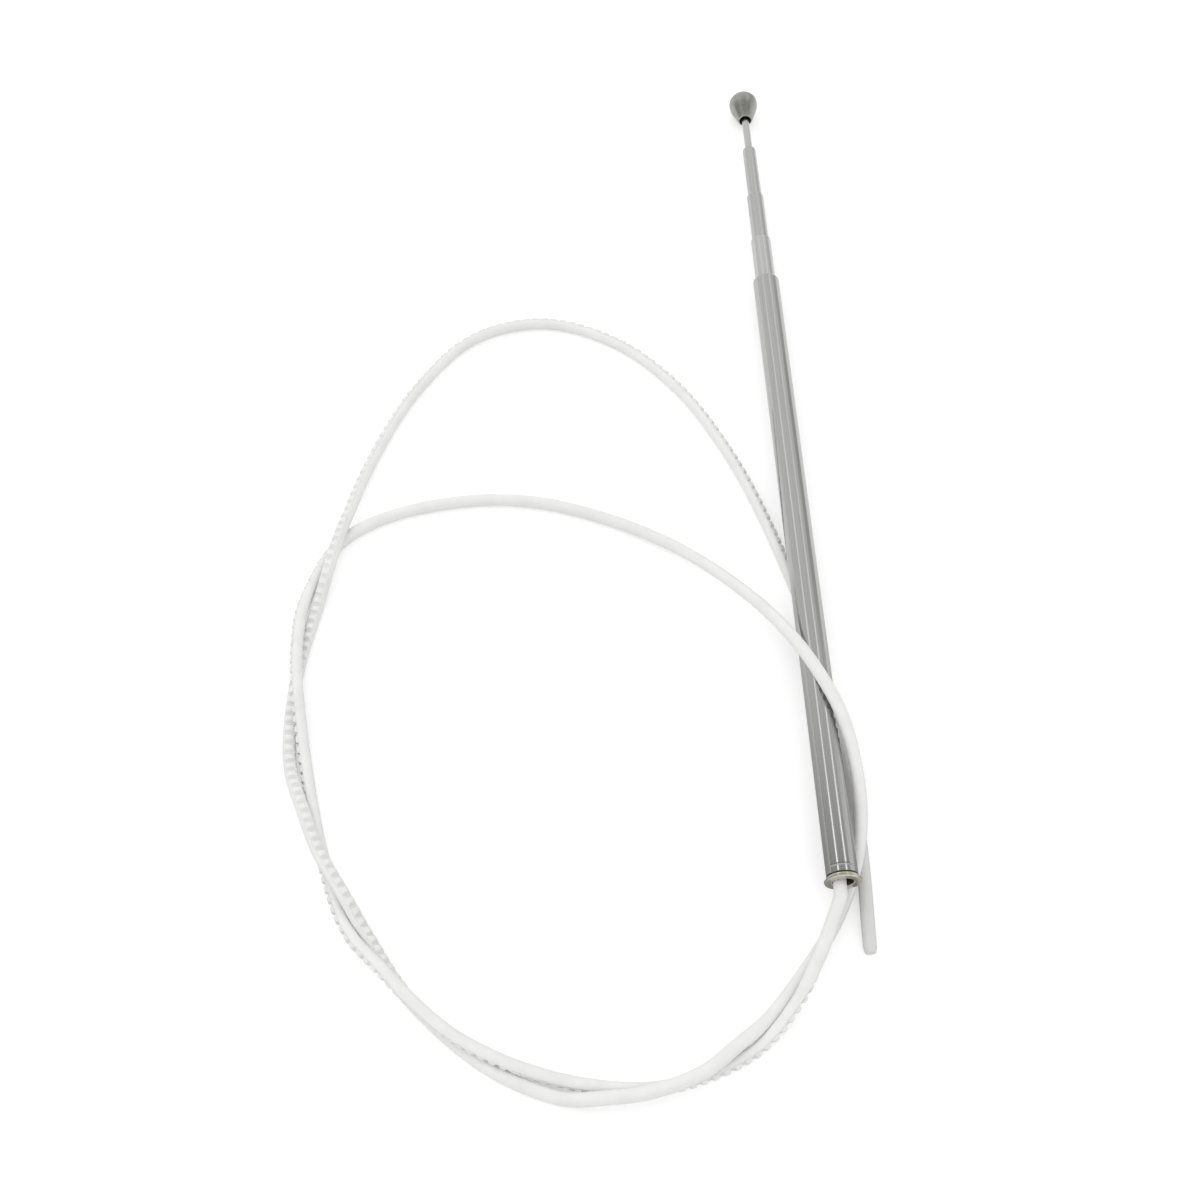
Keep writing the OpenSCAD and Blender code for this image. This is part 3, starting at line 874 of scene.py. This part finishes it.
class AERIAL_OT_knob(bpy.types.Operator):
    """Bell-shaped knob, open round the rod at its mouth"""
    bl_idname = "aerial.knob"
    bl_label = "Knob"

    def execute(self, context):
        settings = context.scene.mast_settings
        outline = [(KNOB_MOUTH_R + beside, KNOB_MOUTH + past) for beside, past in KNOB_LIP]
        # the cone is straight at first, and then bends into the belt at the widest place
        start, end = Vector((KNOB_MOUTH_R, KNOB_MOUTH)), Vector((KNOB_R, KNOB_WIDEST))
        belt = end + Vector((0, KNOB_BELT))
        turn = start.lerp(end, KNOB_CONE_STRAIGHT)
        outline += [tuple(start.lerp(turn, k / 8)) for k in range(1, 8)]
        for k in range(11):
            f = k / 10
            outline.append(tuple(turn * (1 - f) ** 2 + end * (2 * f * (1 - f)) + belt * f ** 2))
        outline += arc(KNOB_R - KNOB_SHOULDER_R, KNOB_TOP - KNOB_SHOULDER_R, KNOB_SHOULDER_R, 3, 86, 20)
        outline += [(KNOB_CROWN_R, KNOB_TOP), (0, KNOB_TOP)]
        # the rod's seat and the open mouth round the rod
        rod_r, hollow = settings.rod_diameter / MM / 2, KNOB_MOUTH + KNOB_HOLLOW
        outline += [(0, ROD_END), (rod_r, ROD_END), (rod_r, hollow), (KNOB_MOUTH_R - KNOB_WALL, hollow)]
        knob = turned_piece("tip_knob_turned", outline, around=128, sharp=40)
        knob.data.materials.append(turned_metal("knob plating", settings.knob, streak=0.3, rough=0.33))
        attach(knob, "tip")
        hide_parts("tip_knob")
        return {"FINISHED"}


class AERIAL_OT_foot(bpy.types.Operator):
    """Foot flange with its bore, and the collar ring between it and the main tube"""
    bl_idname = "aerial.foot"
    bl_label = "Foot"

    def execute(self, context):
        settings = context.scene.mast_settings
        plating = turned_metal("foot plating", settings.nickel, streak=0.14, rough=0.16)
        # painted shade: the bore's faces get a dull dark brown that stands in for the shade inside it
        bore_shade = turned_metal("painted shade in the bore and neck", BORE_PAINTED_SHADE, streak=0.1, rough=0.5)
        outline = list(FERRULE_FACE)
        outline += arc(RIM_TOP_R - RIM_ROUND, FLANGE_THICKNESS - RIM_ROUND, RIM_ROUND, 12, 90, 5)
        outline += FERRULE_BACK
        ferrule = turned_piece("foot_flange", outline, around=128, sharp=50)
        ferrule.data.materials.append(plating)
        ferrule.data.materials.append(bore_shade)
        for face in ferrule.data.polygons:
            beside = face.center / MM - FOOT
            s = beside.dot(MAST_AXIS)
            if s > BORE_PAINTED_SHADE_FROM and (beside - MAST_AXIS * s).length < BORE_PAINTED_SHADE_R:
                face.material_index = 1
        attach(ferrule, "mast_base")
        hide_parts("foot_ferrule")

        outline = [(COLLAR_BORE_R, COLLAR_START), (COLLAR_BORE_R, COLLAR_END), (COLLAR_FLAT_R, COLLAR_END)]
        outline += arc(COLLAR_R - COLLAR_ROUND, COLLAR_END - COLLAR_ROUND, COLLAR_ROUND, 90, 0, 6)
        outline += arc(COLLAR_R - COLLAR_ROUND, COLLAR_START + COLLAR_ROUND, COLLAR_ROUND, 0, -90, 6)
        outline.append((COLLAR_FLAT_R, COLLAR_START))
        collar = turned_piece("foot_collar_ring", outline, around=128, sharp=50)
        collar.data.materials.append(plating)
        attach(collar, "mast_base")
        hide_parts("foot_collar")
        return {"FINISHED"}


class AERIAL_OT_inner_parts(bpy.types.Operator):
    """Guide bushes, contact springs and coupling inside the tubes: the CAD solids with their finishes"""
    bl_idname = "aerial.inner_parts"
    bl_label = "Inner parts"

    def execute(self, context):
        guide = moulded_nylon("guide bush nylon", BUSH_NYLON, rough=0.4, depth=0.1)
        bronze = turned_metal("spring bronze", SPRING_BRONZE, streak=0.08, rough=0.3)
        for name in ("stage_3_bush", "stage_2_bush", "stage_1_bush", "rod_bush"):
            dress_node(name, guide)
        for name in ("stage_3_contact", "stage_2_contact", "stage_1_contact", "rod_contact", "cord_coupling"):
            dress_node(name, bronze)
        return {"FINISHED"}


class AERIAL_PT_panel(bpy.types.Panel):
    """Lists the aerial's settings and pieces in the sidebar"""
    bl_idname = "AERIAL_PT_panel"
    bl_label = "Mast Aerial"
    bl_space_type = "VIEW_3D"
    bl_region_type = "UI"
    bl_category = "Mast Aerial"

    def draw(self, context):
        layout = self.layout
        for group, label, _ in GROUPS:
            box = layout.box()
            box.label(text=label)
            settings = getattr(context.scene, group)
            for name in settings.bl_rna.properties.keys():
                if name not in ("rna_type", "name"):
                    box.prop(settings, name)
        for operator in PIECES:
            layout.operator(operator.bl_idname)


GROUPS = (("mast_settings", "Mast", MastSettings), ("cord_settings", "Cord", CordSettings),
          ("studio_settings", "Studio", StudioSettings))
PIECES = (AERIAL_OT_studio, AERIAL_OT_cord, AERIAL_OT_main_tube, AERIAL_OT_sliding_tubes, AERIAL_OT_rod,
          AERIAL_OT_knob, AERIAL_OT_foot, AERIAL_OT_inner_parts)


def register():
    for _, _, group in GROUPS:
        bpy.utils.register_class(group)
    for piece in PIECES:
        bpy.utils.register_class(piece)
    bpy.utils.register_class(AERIAL_PT_panel)
    for name, _, group in GROUPS:
        setattr(bpy.types.Scene, name, bpy.props.PointerProperty(type=group))


def unregister():
    for name, _, _ in GROUPS:
        delattr(bpy.types.Scene, name)
    bpy.utils.unregister_class(AERIAL_PT_panel)
    for piece in reversed(PIECES):
        bpy.utils.unregister_class(piece)
    for _, _, group in reversed(GROUPS):
        bpy.utils.unregister_class(group)


def main():
    register()
    bpy.ops.aerial.studio()
    bpy.ops.aerial.cord()
    bpy.ops.aerial.main_tube()
    bpy.ops.aerial.sliding_tubes()
    bpy.ops.aerial.rod()
    bpy.ops.aerial.knob()
    bpy.ops.aerial.foot()
    bpy.ops.aerial.inner_parts()


if __name__ == "__main__":
    main()
